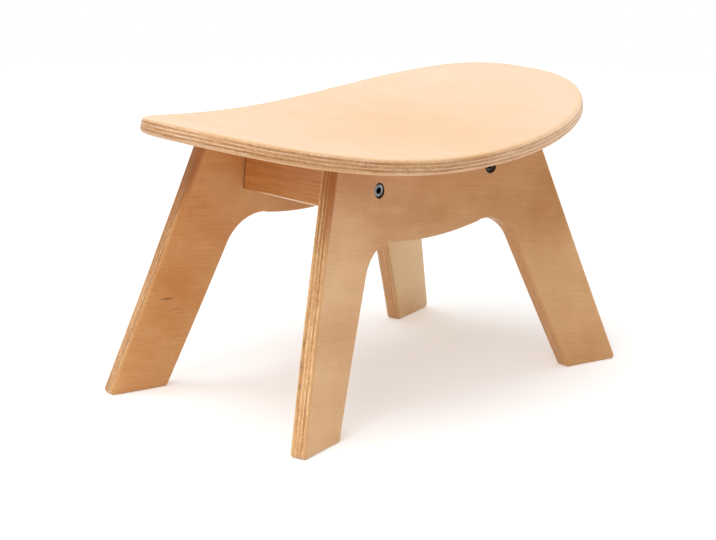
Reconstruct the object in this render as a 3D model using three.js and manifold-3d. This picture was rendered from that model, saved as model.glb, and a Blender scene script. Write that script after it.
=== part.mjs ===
// A low stacking stool: a pressed plywood seat on two pressed plywood side panels that two beech rails join.
// Millimetres. X runs across the stool, Y along it, Z up. The origin is on the floor, under the middle.
import * as THREE from 'three';
import { mergeVertices } from 'three/addons/utils/BufferGeometryUtils.js';
import Module from 'manifold-3d';

const wasm = await Module();
wasm.setup();

// Driving dimensions of the seat
const seatLength = 390;
const seatWidth = 259;
const seatThickness = 12.7;
const seatUnderside = 193.5; // its lowest point above the floor
const seatBendRadius = 725; // of the underside, which curves up toward both ends
const seatEdgeRadius = 4.2;
const seatOutlinePower = 2.51; // 2 would make it an ellipse

// Driving dimensions of a side panel, taken along its outer face and up its slope
const panelThickness = 13.4;
const panelBendRadius = 690; // of the outer face, which is hollow
const panelInset = 39.7; // from the seat's side in to the middle of the outer face, at the floor
const panelStandOff = seatWidth / 2 - panelInset;
const panelTilt = THREE.MathUtils.degToRad(6.2);
const panelEdgeRadius = 2;
const footReach = 184; // from the middle to a foot's outer corner, before it is rounded
const footLength = 50;
const footCornerRadius = 3;
const legOuterLean = 0.344; // how far a leg's edge runs in for each unit that it climbs
const legInnerLean = 0.417;
const apronDepth = 63.5; // from under the seat down to the arch, in the middle
const archCrownRadius = 305; // of the apron's lower edge, which hangs lowest in the middle
const archCornerRadius = 33.5;

// Driving dimensions of a rail
const railThickness = 26;
const railReach = 63.9; // from the stool's centre to the middle of the rail
const railDepth = 37.2; // below the seat's lowest point
const railCornerRadius = 3;

// Driving dimensions of a side bolt and of its barrel nut
const boltDrop = 17.1; // below the seat's lowest point
const boltDiameter = 6;
const boltLength = 35;
const boltHeadDiameter = 10;
const boltHeadHeight = 6;
const boltSocketAcross = 5;
const boltSocketDepth = 3;
const boltChamfer = 0.6;
const boltSink = 0.8; // how far the head lies below the panel's face
const boltPastNut = 4.4;
const boltEndRoom = 2;
const counterboreRoom = 1; // all round the head
const nutDiameter = 10;
const nutLength = 15;
const nutSlotWidth = 1.4;
const nutSlotDepth = 1.5;
const nutChamfer = 0.6;

// Driving dimensions of a dowel, which stops a rail turning about its bolt
const dowelDiameter = 6;
const dowelLength = 25;
const dowelInPanel = 7;
const dowelDrop = 12; // from the bolt's axis down to the dowel's
const dowelChamfer = 0.8;

// Driving dimensions of a seat screw, driven up through a rail
const screwPlaceShare = 0.56; // of the clear wood from the middle of the rail to the bolt's bore
const screwDiameter = 4.5;
const screwLength = 36;
const screwPointLength = 5;
const screwInSeat = 8;
const screwHeadDiameter = 9;
const screwHeadHeight = 3;
const screwSocketAcross = 3;
const screwSocketDepth = 1.8;
const screwChamfer = 0.5;

// Clearances
const seatingGap = 0.3; // between two faces that bear on each other
const boreClearance = 0.3; // all round a bolt, nut, dowel or screw
const drillOverrun = 10;

// How finely round forms are cut
const edgeSteps = 3;
const cornerSteps = 7;
const footCornerSteps = 4;
const seatStations = 44;
const footStations = 5;
const legStations = 3;
const apronStations = 6;
const roundSides = 24;
const settlingRounds = 8;

// Finishes
function finish(colour, roughness, metalness) {
  return new THREE.MeshStandardMaterial({ color: colour, roughness, metalness });
}

const seatFinish = finish(0xf3dcbc, 0.45, 0);
const panelFinish = finish(0xcf9f6c, 0.5, 0);
const railFinish = finish(0xc08a55, 0.55, 0);
const dowelFinish = finish(0xdcbb8c, 0.7, 0);
const boltFinish = finish(0x6f7275, 0.35, 1);
const zincFinish = finish(0xa9abad, 0.3, 1);

// Evenly spaced values from first to last, both included.
function spread(first, last, steps) {
  return Array.from({ length: steps + 1 }, (_, i) => first + (last - first) * (i / steps));
}

// The value that a slowly changing rule gives back unchanged.
function settle(start, rule) {
  let value = start;
  for (let i = 0; i < settlingRounds; i += 1) {
    value = rule(value);
  }
  return value;
}

// Solids: a geometry becomes one for cutting, and comes back as a geometry.
function signedVolume(positions, triangles) {
  const corners = [new THREE.Vector3(), new THREE.Vector3(), new THREE.Vector3()];
  let volume = 0;
  for (let i = 0; i < triangles.length; i += 3) {
    corners.forEach((corner, k) => corner.fromArray(positions, 3 * triangles[i + k]));
    volume += corners[0].dot(corners[1].cross(corners[2]));
  }
  return volume;
}

function toSolid(geometry) {
  const bare = geometry.clone();
  bare.deleteAttribute('normal');
  bare.deleteAttribute('uv');
  const merged = mergeVertices(bare);
  const positions = merged.attributes.position.array;
  const triangles = [];
  for (let i = 0; i < merged.index.count; i += 3) {
    const [a, b, c] = [0, 1, 2].map((k) => merged.index.getX(i + k));
    if (a !== b && b !== c && a !== c) {
      triangles.push(a, b, c);
    }
  }
  if (signedVolume(positions, triangles) < 0) {
    triangles.reverse();
  }
  return new wasm.Manifold(new wasm.Mesh({
    numProp: 3,
    vertProperties: new Float32Array(positions),
    triVerts: new Uint32Array(triangles),
  }));
}

function toGeometry(solid) {
  const mesh = solid.getMesh();
  const geometry = new THREE.BufferGeometry();
  geometry.setAttribute('position', new THREE.BufferAttribute(mesh.vertProperties, 3));
  geometry.setIndex(new THREE.BufferAttribute(mesh.triVerts, 1));
  geometry.computeVertexNormals();
  return geometry;
}

function cut(blank, tools) {
  return toGeometry(tools.reduce((solid, tool) => solid.subtract(toSolid(tool)), toSolid(blank)));
}

// Round and six-sided bars between two places on one line.
function barAlongX(diameter, from, to, y, z, sides = roundSides) {
  const bar = new THREE.CylinderGeometry(diameter / 2, diameter / 2, Math.abs(to - from), sides);
  bar.rotateZ(Math.PI / 2);
  bar.translate((from + to) / 2, y, z);
  return bar;
}

function barAlongZ(diameter, from, to, x, y, sides = roundSides) {
  const bar = new THREE.CylinderGeometry(diameter / 2, diameter / 2, Math.abs(to - from), sides);
  bar.rotateX(Math.PI / 2);
  bar.translate(x, y, (from + to) / 2);
  return bar;
}

const hexagonSides = 6;

function hexagonDiameter(acrossFlats) {
  return acrossFlats / Math.cos(Math.PI / hexagonSides);
}

// A turned piece on the Z axis, from its profile of [radius, height] pairs.
function turned(profile) {
  const points = profile.map(([radius, height]) => new THREE.Vector2(radius, height));
  const geometry = new THREE.LatheGeometry(points, roundSides);
  geometry.rotateX(Math.PI / 2);
  return geometry;
}

// Sheets bent one way. The flat outline is two chains of points over the same stations.
// They meet at both ends, and the first lies on the right of the second.
// The face is ruled from chain to chain, so it follows the bend.
function insetLoop(loop, inset) {
  return loop.map((point, i) => {
    const before = loop[(i + loop.length - 1) % loop.length];
    const after = loop[(i + 1) % loop.length];
    const arriving = point.clone().sub(before).normalize();
    const leaving = after.clone().sub(point).normalize();
    const inward = new THREE.Vector2(-arriving.y - leaving.y, arriving.x + leaving.x);
    return point.clone().addScaledVector(inward, inset / (1 + arriving.dot(leaving)));
  });
}

function squareLevels(thickness) {
  return [{ depth: 0, inset: 0 }, { depth: thickness, inset: 0 }];
}

function roundedLevels(thickness, radius) {
  const limited = Math.min(radius, thickness / 2);
  const near = spread(0, Math.PI / 2, edgeSteps).map((angle) => ({
    depth: limited * (1 - Math.cos(angle)),
    inset: limited * (1 - Math.sin(angle)),
  }));
  const far = near.map((level) => ({ depth: thickness - level.depth, inset: level.inset })).reverse();
  return [...near, ...far];
}

// chainsAt(depth) gives the two chains at a depth below the first face; place(point, depth) bends a point.
function bentSheet(levels, chainsAt, place) {
  const positions = [];
  for (const level of levels) {
    const { first, second } = chainsAt(level.depth);
    const loop = [...first, ...second.slice(1, -1).reverse()];
    for (const point of insetLoop(loop, level.inset)) {
      positions.push(...place(point, level.depth).toArray());
    }
  }
  const around = positions.length / 3 / levels.length;
  const steps = around / 2;
  const top = around * (levels.length - 1);
  const triangles = [];
  for (let start = 0; start < top; start += around) {
    for (let i = 0; i < around; i += 1) {
      const a = start + i;
      const b = start + ((i + 1) % around);
      triangles.push(a, b, a + around, b, b + around, a + around);
    }
  }
  for (let i = 0; i < steps; i += 1) {
    const opposite = (around - i) % around;
    for (const [a, b, c] of [[i, i + 1, around - i - 1], [i, around - i - 1, opposite]]) {
      if (a !== b && b !== c && a !== c) {
        triangles.push(a, c, b, top + a, top + b, top + c);
      }
    }
  }
  const geometry = new THREE.BufferGeometry();
  geometry.setAttribute('position', new THREE.Float32BufferAttribute(positions, 3));
  geometry.setIndex(triangles);
  return geometry;
}

// Seat, bent about a line across the stool, high above it. Its depth counts up from the underside.
const seatBendCentre = seatUnderside + seatBendRadius;

function seatPoint(point, depth) {
  const angle = Math.asin(point.y / seatBendRadius);
  const radius = seatBendRadius - depth;
  return new THREE.Vector3(point.x, radius * Math.sin(angle), seatBendCentre - radius * Math.cos(angle));
}

function seatChains() {
  const softened = (share) => Math.sign(share) * Math.abs(share) ** (2 / seatOutlinePower);
  const first = spread(-Math.PI / 2, Math.PI / 2, seatStations).map((turn) => new THREE.Vector2(
    (seatWidth / 2) * softened(Math.cos(turn)),
    (seatLength / 2) * softened(Math.sin(turn)),
  ));
  return { first, second: first.map((point) => new THREE.Vector2(-point.x, point.y)) };
}

// Height of what bears on the seat's underside, at a place along the stool.
function underSeat(along) {
  return seatBendCentre - Math.sqrt((seatBendRadius + seatingGap) ** 2 - along ** 2);
}

// Side panel on the +X side. It leans out toward the floor, and its ends flare away from the middle.
function panelBow(along, depth) {
  return panelBendRadius - (panelBendRadius + depth) * Math.cos(along / panelBendRadius);
}

function panelPoint(along, climb, depth) {
  const bow = panelBow(along, depth);
  return new THREE.Vector3(
    panelStandOff - climb * Math.sin(panelTilt) + bow * Math.cos(panelTilt),
    (panelBendRadius + depth) * Math.sin(along / panelBendRadius),
    climb * Math.cos(panelTilt) + bow * Math.sin(panelTilt),
  );
}

// How far up its slope the sheet reaches a height.
function climbTo(height, along, depth) {
  return (height - panelBow(along, depth) * Math.sin(panelTilt)) / Math.cos(panelTilt);
}

// Where a line along X at that place and height meets the sheet at that depth.
function panelFace(y, z, depth) {
  const along = panelBendRadius * Math.asin(y / (panelBendRadius + depth));
  return panelPoint(along, climbTo(z, along, depth), depth).x;
}

function panelTop(along, depth) {
  return climbTo(underSeat(panelPoint(along, 0, depth).y), along, depth);
}

// The arch: an apron edge that hangs lowest in the middle, and a round corner down into each leg.
const footInnerReach = footReach - footLength;
const archHeight = climbTo(seatUnderside, 0, 0) - apronDepth;

function apronEdge(along) {
  return archHeight + along ** 2 / (2 * archCrownRadius);
}

const legInnerAngle = Math.atan(legInnerLean);
const legOuterAngle = Math.atan(legOuterLean);
const cornerAcross = archCornerRadius / Math.cos(legInnerAngle);
const cornerX = settle(0, (x) => (
  footInnerReach - legInnerLean * (apronEdge(x) - archCornerRadius) - cornerAcross
));
const cornerY = apronEdge(cornerX) - archCornerRadius;
const apronAngle = Math.PI / 2 + Math.atan(cornerX / archCrownRadius);
const cornerReaches = spread(legInnerAngle, apronAngle, cornerSteps)
  .map((angle) => cornerX + archCornerRadius * Math.cos(angle));
const legJoin = cornerReaches[0];
const apronJoin = cornerReaches[cornerSteps];

function archEdge(along) {
  if (along >= legJoin) {
    return (footInnerReach - along) / legInnerLean;
  }
  if (along > apronJoin) {
    return cornerY + Math.sqrt(archCornerRadius ** 2 - (along - cornerX) ** 2);
  }
  return apronEdge(along);
}

// Height of a round foot corner over its centre, at a distance along from it.
function cornerRise(distance) {
  return Math.sqrt(Math.max(footCornerRadius ** 2 - distance ** 2, 0));
}

function panelChains(depth) {
  const floor = (along) => climbTo(0, along, depth);
  const centreClimb = (along) => floor(along) + footCornerRadius;
  const outerSetback = footCornerRadius / Math.cos(legOuterAngle);
  const innerSetback = footCornerRadius / Math.cos(legInnerAngle);
  const outerCentre = settle(footReach, (along) => (
    footReach - legOuterLean * centreClimb(along) - outerSetback
  ));
  const innerCentre = settle(footInnerReach, (along) => (
    footInnerReach - legInnerLean * centreClimb(along) + innerSetback
  ));
  const outerJoin = outerCentre + footCornerRadius * Math.cos(legOuterAngle);
  const innerJoin = innerCentre - footCornerRadius * Math.cos(legInnerAngle);
  const shoulder = settle(footInnerReach, (along) => footReach - legOuterLean * panelTop(along, depth));
  const outerArc = [0, ...spread(legOuterAngle, Math.PI / 2, footCornerSteps)];
  const innerArc = spread(Math.PI / 2, legInnerAngle, footCornerSteps);
  const reaches = [
    ...outerArc.map((angle) => outerCentre + footCornerRadius * Math.cos(angle)),
    ...spread(outerCentre, innerCentre, footStations).slice(1, -1),
    ...innerArc.map((angle) => innerCentre - footCornerRadius * Math.cos(angle)),
    ...spread(innerJoin, shoulder, legStations).slice(1),
    ...spread(shoulder, legJoin, legStations).slice(1, -1),
    ...cornerReaches,
    ...spread(apronJoin, 0, apronStations).slice(1),
  ].sort((a, b) => b - a);
  const lowerEdge = (along) => {
    if (along > outerCentre) {
      return centreClimb(outerCentre) - cornerRise(along - outerCentre);
    }
    if (along >= innerCentre) {
      return floor(along);
    }
    if (along >= innerJoin) {
      return Math.max(floor(along), centreClimb(innerCentre) - cornerRise(innerCentre - along));
    }
    return archEdge(along);
  };
  const upperEdge = (along) => {
    if (along > outerJoin) {
      return centreClimb(outerCentre) + cornerRise(along - outerCentre);
    }
    return Math.min((footReach - along) / legOuterLean, panelTop(along, depth));
  };
  const lowerHalf = reaches.map(lowerEdge);
  const upperHalf = reaches.map(upperEdge);
  const bothHalves = (climbs) => [
    ...reaches.map((along, i) => new THREE.Vector2(-along, climbs[i])),
    ...reaches.map((along, i) => new THREE.Vector2(along, climbs[i])).slice(0, -1).reverse(),
  ];
  return { first: bothHalves(lowerHalf), second: bothHalves(upperHalf) };
}

// Joint places, shared by what is drilled and by what goes into the holes. All are on the +X side.
const railPlaces = [-railReach, railReach];
const railInnerFace = railReach - railThickness / 2;
const railOuterFace = railReach + railThickness / 2;
const railUnderside = seatUnderside - railDepth;
const boltHeight = seatUnderside - boltDrop;
const headSeat = panelFace(railReach, boltHeight, 0) - boltSink - boltHeadHeight - seatingGap;
const boltTip = headSeat + seatingGap - boltLength;
const boltBoreEnd = boltTip - boltEndRoom;
const nutAxis = boltTip + boltPastNut + nutDiameter / 2;
const nutOuterEnd = railReach + nutLength / 2;
const dowelHeight = boltHeight - dowelDrop;
const dowelOuterEnd = panelFace(railReach, dowelHeight, panelThickness) + dowelInPanel;
const dowelInnerEnd = dowelOuterEnd - dowelLength;
const screwTip = underSeat(railReach) + seatingGap + screwInSeat;
const screwHeadSeat = screwTip - screwLength;
const screwPlaces = [-screwPlaceShare * boltBoreEnd, screwPlaceShare * boltBoreEnd];

function makeSeat() {
  const blank = bentSheet(roundedLevels(seatThickness, seatEdgeRadius), seatChains, seatPoint);
  const tools = [];
  for (const x of screwPlaces) {
    for (const y of railPlaces) {
      const bore = screwDiameter + 2 * boreClearance;
      tools.push(barAlongZ(bore, seatUnderside - drillOverrun, screwTip + seatingGap, x, y));
    }
  }
  return cut(blank, tools);
}

function makePanel() {
  const blank = bentSheet(
    roundedLevels(panelThickness, panelEdgeRadius),
    panelChains,
    (point, depth) => panelPoint(point.x, point.y, depth),
  );
  const outside = panelFace(railReach, boltHeight, 0) + drillOverrun;
  const inside = panelFace(railReach, boltHeight, panelThickness) - drillOverrun;
  const tools = railPlaces.flatMap((y) => [
    barAlongX(boltHeadDiameter + 2 * counterboreRoom, headSeat, outside, y, boltHeight),
    barAlongX(boltDiameter + 2 * boreClearance, inside, outside, y, boltHeight),
    barAlongX(dowelDiameter + 2 * boreClearance, inside, dowelOuterEnd + seatingGap, y, dowelHeight),
  ]);
  return cut(blank, tools);
}

// The rail at +Y. Its top is planed to the seat's bend, and its ends are scribed to the panels.
function railBlank() {
  const bearing = seatBendRadius + seatingGap;
  const turnAt = (y) => Math.asin(y / bearing) - Math.PI / 2;
  const cornerHeight = railUnderside + railCornerRadius;
  const section = new THREE.Shape();
  section.absarc(railOuterFace - railCornerRadius, cornerHeight, railCornerRadius, -Math.PI / 2, 0);
  section.absarc(0, seatBendCentre, bearing, turnAt(railOuterFace), turnAt(railInnerFace), true);
  section.absarc(railInnerFace + railCornerRadius, cornerHeight, railCornerRadius, Math.PI, 1.5 * Math.PI);
  const blank = new THREE.ExtrudeGeometry(section, {
    depth: 2 * panelStandOff,
    bevelEnabled: false,
    curveSegments: cornerSteps,
  });
  blank.translate(0, 0, -panelStandOff);
  // The section's X becomes Y, its Y becomes Z, and the extrusion runs along X.
  blank.applyMatrix4(new THREE.Matrix4().makeBasis(
    new THREE.Vector3(0, 1, 0),
    new THREE.Vector3(0, 0, 1),
    new THREE.Vector3(1, 0, 0),
  ));
  return blank;
}

// All that lies outside the inner face of the +X panel, less the gap at the joint.
function scribingTool() {
  const reach = railReach + railThickness;
  const places = spread(-reach, reach, 2 * apronStations);
  const chain = (climb) => [
    new THREE.Vector2(-reach, seatUnderside),
    ...places.slice(1, -1).map((along) => new THREE.Vector2(along, climb)),
    new THREE.Vector2(reach, seatUnderside),
  ];
  return bentSheet(
    squareLevels(2 * panelStandOff),
    () => ({ first: chain(0), second: chain(2 * seatUnderside) }),
    (point, depth) => panelPoint(point.x, point.y, panelThickness + seatingGap - depth),
  );
}

function makeRail() {
  const tools = [];
  const nutBore = new THREE.CylinderGeometry(
    nutDiameter / 2 + boreClearance,
    nutDiameter / 2 + boreClearance,
    nutOuterEnd + seatingGap - railInnerFace + drillOverrun,
    roundSides,
  );
  nutBore.translate(nutAxis, (nutOuterEnd + seatingGap + railInnerFace - drillOverrun) / 2, boltHeight);
  const boltBore = boltDiameter + 2 * boreClearance;
  const dowelBore = dowelDiameter + 2 * boreClearance;
  const endTools = [
    scribingTool(),
    barAlongX(boltBore, boltBoreEnd, panelStandOff, railReach, boltHeight),
    barAlongX(dowelBore, dowelInnerEnd - seatingGap, panelStandOff, railReach, dowelHeight),
    nutBore,
  ];
  const mirror = new THREE.Matrix4().makeScale(-1, 1, 1);
  for (const tool of endTools) {
    tools.push(tool, tool.clone().applyMatrix4(mirror));
  }
  for (const x of screwPlaces) {
    const shankBore = screwDiameter + 2 * boreClearance;
    const headBore = screwHeadDiameter + 2 * boreClearance;
    tools.push(barAlongZ(shankBore, railUnderside - drillOverrun, screwTip, x, railReach));
    tools.push(barAlongZ(headBore, railUnderside - drillOverrun, screwHeadSeat + seatingGap, x, railReach));
  }
  return cut(railBlank(), tools);
}

// A socket-head bolt whose head bears at the origin and whose shank runs down.
function makeBolt() {
  const head = boltHeadDiameter / 2;
  const shank = boltDiameter / 2;
  const blank = turned([
    [0, -boltLength],
    [shank - boltChamfer, -boltLength],
    [shank, -boltLength + boltChamfer],
    [shank, 0],
    [head, 0],
    [head, boltHeadHeight - boltChamfer],
    [head - boltChamfer, boltHeadHeight],
    [0, boltHeadHeight],
  ]);
  const socketFrom = boltHeadHeight - boltSocketDepth;
  const across = hexagonDiameter(boltSocketAcross);
  return cut(blank, [barAlongZ(across, socketFrom, boltHeadHeight + drillOverrun, 0, 0, hexagonSides)]);
}

// A barrel nut on the Z axis, centred, with its screwdriver slot at the top and its thread along X.
function makeNut() {
  const radius = nutDiameter / 2;
  const blank = turned([
    [0, -nutLength / 2],
    [radius - nutChamfer, -nutLength / 2],
    [radius, -nutLength / 2 + nutChamfer],
    [radius, nutLength / 2 - nutChamfer],
    [radius - nutChamfer, nutLength / 2],
    [0, nutLength / 2],
  ]);
  const slot = new THREE.BoxGeometry(2 * nutDiameter, nutSlotWidth, 2 * nutSlotDepth);
  slot.translate(0, 0, nutLength / 2);
  return cut(blank, [slot, barAlongX(boltDiameter + 2 * boreClearance, -nutDiameter, nutDiameter, 0, 0)]);
}

function makeDowel() {
  const radius = dowelDiameter / 2;
  return turned([
    [0, 0],
    [radius - dowelChamfer, 0],
    [radius, dowelChamfer],
    [radius, dowelLength - dowelChamfer],
    [radius - dowelChamfer, dowelLength],
    [0, dowelLength],
  ]);
}

// A wood screw whose head bears at the origin and whose point is up.
function makeScrew() {
  const head = screwHeadDiameter / 2;
  const shank = screwDiameter / 2;
  const blank = turned([
    [0, -screwHeadHeight],
    [head - screwChamfer, -screwHeadHeight],
    [head, -screwHeadHeight + screwChamfer],
    [head, 0],
    [shank, 0],
    [shank, screwLength - screwPointLength],
    [0, screwLength],
  ]);
  const across = hexagonDiameter(screwSocketAcross);
  const socketTo = screwSocketDepth - screwHeadHeight;
  return cut(blank, [barAlongZ(across, -screwHeadHeight - drillOverrun, socketTo, 0, 0, hexagonSides)]);
}

// Assembly
function piece(name, geometry, material) {
  const mesh = new THREE.Mesh(geometry, material);
  mesh.name = name;
  return mesh;
}

const shapes = {
  seat: makeSeat(),
  panel: makePanel(),
  rail: makeRail(),
  bolt: makeBolt(),
  nut: makeNut(),
  dowel: makeDowel(),
  screw: makeScrew(),
};

// One side: its panel with the bolts, nuts and dowels that join it to both rails.
function makeSide(side, ends) {
  const group = new THREE.Group();
  group.add(piece(`${side}_side_panel`, shapes.panel, panelFinish));
  railPlaces.forEach((y, i) => {
    const bolt = piece(`${side}_${ends[i]}_bolt`, shapes.bolt, boltFinish);
    bolt.position.set(headSeat + seatingGap, y, boltHeight);
    bolt.rotation.y = Math.PI / 2;
    const nut = piece(`${side}_${ends[i]}_barrel_nut`, shapes.nut, zincFinish);
    nut.position.set(nutAxis, y, boltHeight);
    nut.rotation.x = y < 0 ? -Math.PI / 2 : Math.PI / 2;
    const dowel = piece(`${side}_${ends[i]}_dowel`, shapes.dowel, dowelFinish);
    dowel.position.set(dowelInnerEnd, y, dowelHeight);
    dowel.rotation.y = Math.PI / 2;
    group.add(bolt, nut, dowel);
  });
  return group;
}

// One rail with its two seat screws, modelled at the rear.
function makeCrossRail(end, sides) {
  const group = new THREE.Group();
  group.add(piece(`${end}_rail`, shapes.rail, railFinish));
  screwPlaces.forEach((x, i) => {
    const screw = piece(`${end}_${sides[i]}_seat_screw`, shapes.screw, zincFinish);
    screw.position.set(x, railReach, screwHeadSeat);
    group.add(screw);
  });
  return group;
}

const stool = new THREE.Group();
stool.add(piece('seat', shapes.seat, seatFinish));
stool.add(makeSide('right', ['front', 'rear']));
const leftSide = makeSide('left', ['rear', 'front']);
leftSide.rotation.z = Math.PI;
stool.add(leftSide);
stool.add(makeCrossRail('rear', ['left', 'right']));
const frontRail = makeCrossRail('front', ['right', 'left']);
frontRail.rotation.z = Math.PI;
stool.add(frontRail);

export default stool;
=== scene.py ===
"""A low stacking stool of pressed plywood: its looks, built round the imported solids. Metres, Z up."""

import math

import bmesh
import bpy
from mathutils import Matrix, Vector


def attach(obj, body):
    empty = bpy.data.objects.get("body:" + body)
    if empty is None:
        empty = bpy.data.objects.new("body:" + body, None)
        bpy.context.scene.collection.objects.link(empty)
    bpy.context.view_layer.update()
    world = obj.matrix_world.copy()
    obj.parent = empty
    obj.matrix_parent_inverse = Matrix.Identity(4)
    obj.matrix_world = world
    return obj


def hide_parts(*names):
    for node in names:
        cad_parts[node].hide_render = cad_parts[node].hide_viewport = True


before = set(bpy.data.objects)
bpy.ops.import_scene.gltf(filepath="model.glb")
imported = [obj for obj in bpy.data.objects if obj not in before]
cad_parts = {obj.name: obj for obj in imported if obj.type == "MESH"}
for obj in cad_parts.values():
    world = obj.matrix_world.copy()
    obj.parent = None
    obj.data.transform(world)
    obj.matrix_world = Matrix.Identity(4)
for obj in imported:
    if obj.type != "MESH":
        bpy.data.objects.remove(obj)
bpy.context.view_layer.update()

MM = 0.001
X, Y, Z = range(3)

# Seat, pressed to one bend along its length
SEAT_LENGTH = 390 * MM
SEAT_WIDTH = 259 * MM
SEAT_THICKNESS = 12.7 * MM
SEAT_UNDERSIDE = 193.5 * MM
SEAT_BEND_RADIUS = 725 * MM
SEAT_RIM_RADIUS = 4.2 * MM
SEAT_OUTLINE_POWER = 2.51

# Side panels, measured along the hollow outer face and up its slope
PANEL_THICKNESS = 13.4 * MM
PANEL_BEND_RADIUS = 690 * MM
PANEL_INSET = 39.7 * MM
PANEL_STAND_OFF = SEAT_WIDTH / 2 - PANEL_INSET
PANEL_TILT = math.radians(6.2)
PANEL_EDGE_RADIUS = 2 * MM
FOOT_REACH = 184 * MM
FOOT_LENGTH = 50 * MM
FOOT_CORNER_RADIUS = 3 * MM
LEG_OUTER_LEAN = 0.344
LEG_INNER_LEAN = 0.417
APRON_DEPTH = 63.5 * MM
ARCH_CROWN_RADIUS = 305 * MM
ARCH_CORNER_RADIUS = 33.5 * MM
PLY_COUNT = 9

# Cross rails
RAIL_THICKNESS = 26 * MM
RAIL_REACH = 63.9 * MM
RAIL_DEPTH = 37.2 * MM
RAIL_CORNER_RADIUS = 3 * MM
RAIL_EASED_EDGE = 0.6 * MM

# Fittings
BOLT_DROP = 17.1 * MM
BOLT_DIAMETER = 6 * MM
BOLT_LENGTH = 35 * MM
BOLT_PITCH = 1 * MM
BOLT_THREAD_LENGTH = 22 * MM
BOLT_THREAD_DEPTH = 0.5 * MM
BOLT_HEAD_DIAMETER = 10 * MM
BOLT_HEAD_HEIGHT = 6 * MM
BOLT_SOCKET_ACROSS = 5 * MM
BOLT_SOCKET_DEPTH = 3 * MM
BOLT_SINK = 0.8 * MM
BOLT_PAST_NUT = 4.4 * MM
COUNTERBORE_ROOM = 1 * MM
NUT_DIAMETER = 10 * MM
NUT_LENGTH = 15 * MM
NUT_SLOT_WIDTH = 1.4 * MM
NUT_SLOT_DEPTH = 1.5 * MM
DOWEL_DIAMETER = 6 * MM
DOWEL_LENGTH = 25 * MM
DOWEL_IN_PANEL = 7 * MM
DOWEL_DROP = 12 * MM
DOWEL_FLUTES = 16
DOWEL_FLUTE_DEPTH = 0.25 * MM
SCREW_PLACE_SHARE = 0.56
SCREW_DIAMETER = 4.5 * MM
SCREW_LENGTH = 36 * MM
SCREW_SMOOTH_LENGTH = 10 * MM
SCREW_POINT_LENGTH = 5 * MM
SCREW_PITCH = 2.2 * MM
SCREW_THREAD_DEPTH = 0.75 * MM
SCREW_IN_SEAT = 8 * MM
SCREW_HEAD_DIAMETER = 9 * MM
SCREW_HEAD_HEIGHT = 3 * MM
SCREW_SOCKET_ACROSS = 3 * MM
SCREW_SOCKET_DEPTH = 1.8 * MM
GAP = 0.3 * MM
BORE_ROOM = 0.3 * MM
BOLT_END_ROOM = 2 * MM

# How far a cutter runs past the wood, and past the end of a fitting's socket
CUT_PAST = 10 * MM
SOCKET_CUT_PAST = 2 * MM

# Camera, as the outlines of the stool in the photograph give it; its angles are in degrees
CAMERA_AZIMUTH = 44.0404
CAMERA_ELEVATION = 15.0737
CAMERA_ROLL = 0.5503
CAMERA_DISTANCE = 1871.84 * MM
CAMERA_TARGET_HEIGHT = 88.15 * MM
CAMERA_TARGET_LEFT = 7.14 * MM
CAMERA_LENS = 116.831

# Light: how bright the room is, and the way from the stool to the paper that hangs behind it
ROOM_LIGHT = 0.47
PAPER_WAY = (-0.17, 0.985, 0.1)
SOFTBOX_TARGET = Vector((0, 0, 0.1))
FLOOR_RADIUS = 1.5


# Node trees

def operator(operation, turned=False):
    """A Python operator on a wire, as a math node; turned, the wire stands on its right."""
    def apply(wire, other):
        return math_node(wire.tree, operation, *((other, wire) if turned else (wire, other)))
    return apply


class Wire:
    """An output in a node tree that works in a sum, so that a rule reads as it would on paper."""

    def __init__(self, tree, socket):
        self.tree = tree
        self.socket = socket

    def does(self, operation, *others):
        return math_node(self.tree, operation, self, *others)

    __add__ = __radd__ = operator("add")
    __sub__ = operator("subtract")
    __rsub__ = operator("subtract", turned=True)
    __mul__ = __rmul__ = operator("multiply")
    __truediv__ = operator("divide")
    __rtruediv__ = operator("divide", turned=True)
    __pow__ = operator("power")
    __gt__ = operator("greater_than")
    __lt__ = operator("less_than")


def give(tree, node, inputs):
    """Feeds a node's inputs, by name or by number: a wire is linked, and a plain value is set."""
    for key, value in inputs.items():
        if isinstance(value, Wire):
            tree.links.new(value.socket, node.inputs[key])
        else:
            node.inputs[key].default_value = value


def place(tree, kind, inputs=None, **settings):
    """A new node with its settings made and its inputs fed."""
    node = tree.nodes.new(kind)
    for name, value in settings.items():
        setattr(node, name, value)
    give(tree, node, inputs or {})
    return node


def wired(tree, kind, inputs=None, out=0, **settings):
    """One output of a new node, by name or by number."""
    return Wire(tree, place(tree, kind, inputs, **settings).outputs[out])


def outputs_of(tree, node):
    return {output.name: Wire(tree, output) for output in node.outputs}


def math_node(tree, operation, *values):
    return wired(tree, "ShaderNodeMath", dict(enumerate(values)), operation=operation.upper())


def vector_math(tree, operation, *values, out=0):
    return wired(tree, "ShaderNodeVectorMath", dict(enumerate(values)), out, operation=operation.upper())


def clamp01(wire):
    return wired(wire.tree, "ShaderNodeClamp", {0: wire, 1: 0.0, 2: 1.0})


def vector(tree, x, y, z):
    return wired(tree, "ShaderNodeCombineXYZ", {0: x, 1: y, 2: z})


def parts_of(wire):
    node = place(wire.tree, "ShaderNodeSeparateXYZ", {0: wire})
    return [Wire(wire.tree, output) for output in node.outputs]


def open_tree(name, kind, inputs, outputs):
    """A node tree with named sockets, (label, type, default) or (label, type), going in and coming out."""
    tree = bpy.data.node_groups.new(name, kind)
    for way, sockets in (("INPUT", inputs), ("OUTPUT", outputs)):
        for label, socket_type, *default in sockets:
            socket = tree.interface.new_socket(label, in_out=way, socket_type="NodeSocket" + socket_type)
            if default:
                socket.default_value = default[0]
    entry = tree.nodes.new("NodeGroupInput")
    leaving = tree.nodes.new("NodeGroupOutput")
    return tree, outputs_of(tree, entry), leaving


def floats(defaults):
    return [(label, "Float", value) for label, value in defaults.items()]


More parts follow.
